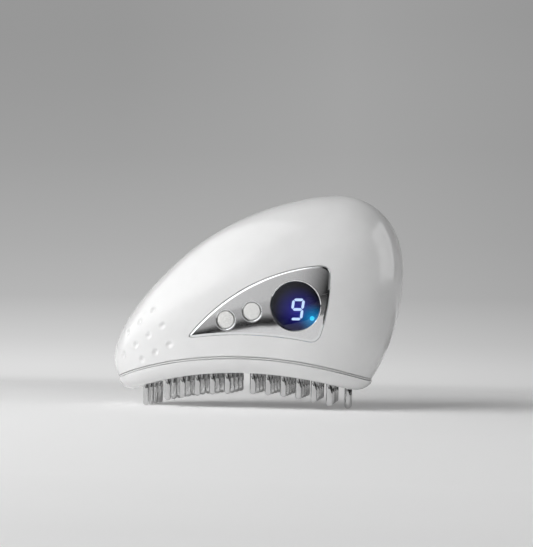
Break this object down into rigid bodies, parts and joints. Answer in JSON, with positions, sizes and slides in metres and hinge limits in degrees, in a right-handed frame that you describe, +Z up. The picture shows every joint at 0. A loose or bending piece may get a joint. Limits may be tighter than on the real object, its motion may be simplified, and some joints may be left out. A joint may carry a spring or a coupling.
{
  "type": "handheld electric gua sha massager",
  "caption": "Palm-held vibrating massager: a glossy teardrop shell with a side control panel, on a concave head of round-tipped metal pins.",
  "frame": {"origin": "centre of the bounding box's bottom face: the floor plane under the tips of the nose and tail pins", "axes": "+X from the nose to the tail, -Y towards the control panel's side, +Z up to the crown of the shell"},
  "size_m": [0.1249, 0.0623, 0.091],
  "materials": {
    "gloss_white": "glossy injection-moulded ABS",
    "seal_grey": "soft satin silicone",
    "satin_chrome": "satin electroplate",
    "bright_chrome": "bright electroplate",
    "smoked_lens": "smoked acrylic, glossy",
    "lit_digit": "lit, icy blue",
    "lit_cyan": "lit, cyan",
    "pearl_button": "fine pearl grain",
    "black_plastic": "moulded black",
    "board_green": "solder mask over glass-fibre laminate",
    "screw_steel": "zinc plated",
    "pin_steel": "polished stainless",
    "motor_steel": "drawn and ground",
    "plate_aluminium": "stamped, as rolled",
    "heater_amber": "polyimide film",
    "bead_brown": "epoxy dipped",
    "chassis_plastic": "moulded ABS",
    "damper_rubber": "soft moulded rubber",
    "weight_brass": "machined",
    "cell_blue": "shrink-wrapped can",
    "coil_grey": "moulded ferrite",
    "connector_cream": "moulded nylon",
    "lead_red": "silicone insulation",
    "lead_black": "silicone insulation",
    "lead_yellow": "silicone insulation",
    "ribbon_film": "flat flexible cable"
  },
  "bodies": {
    "case": {"upper_shell": "gloss_white", "base_frame": "gloss_white", "seam_seal": "seal_grey", "panel_bezel": "satin_chrome", "display_rim": "bright_chrome", "display_lens": "smoked_lens", "display_module": "black_plastic", "digit_segments": "lit_digit", "status_led": "lit_cyan", "power_button_ring": "bright_chrome", "level_button_ring": "bright_chrome", "tact_switches": "black_plastic", "panel_board": "board_green", "panel_board_screws": "screw_steel", "tooth_plate": "plate_aluminium", "pin_row_front": "pin_steel", "pin_row_inner_front": "pin_steel", "pin_row_inner_back": "pin_steel", "pin_row_back": "pin_steel", "nose_pins": "pin_steel", "tail_pins": "pin_steel", "heater_strip": "heater_amber", "thermistor": "bead_brown", "chassis": "chassis_plastic", "chassis_screws": "screw_steel", "motor_bracket": "chassis_plastic", "motor_clamp": "screw_steel", "motor_clamp_screws": "screw_steel", "motor_damper": "damper_rubber", "motor_can": "motor_steel", "battery_cell": "cell_blue", "battery_strap": "screw_steel", "battery_strap_screws": "screw_steel", "main_board": "board_green", "main_board_screws": "screw_steel", "controller_chip": "black_plastic", "charge_chip": "black_plastic", "power_coil": "coil_grey", "board_connectors": "connector_cream", "charge_socket": "screw_steel", "motor_leads": "lead_red", "battery_leads": "lead_black", "heater_leads": "lead_yellow", "panel_ribbon": "ribbon_film", "case_screws": "screw_steel"},
    "power_key": {"power_button": "pearl_button", "power_plunger": "black_plastic"},
    "level_key": {"level_button": "pearl_button", "level_plunger": "black_plastic"},
    "rotor": {"motor_shaft": "motor_steel", "eccentric_weight": "weight_brass"}
  },
  "joints": [
    {"name": "power_press", "type": "slide", "parent": "case", "child": "power_key", "axis": [0, 1, 0], "range_m": [0, 0.0004], "stiffness_N_per_m": 2500},
    {"name": "level_press", "type": "slide", "parent": "case", "child": "level_key", "axis": [0, 1, 0], "range_m": [0, 0.0004], "stiffness_N_per_m": 2500},
    {"name": "rotor_spin", "type": "hinge", "parent": "case", "child": "rotor", "pos_m": [-0.03, 0, 0.0365], "axis": [1, 0, 0], "continuous": true}
  ]
}
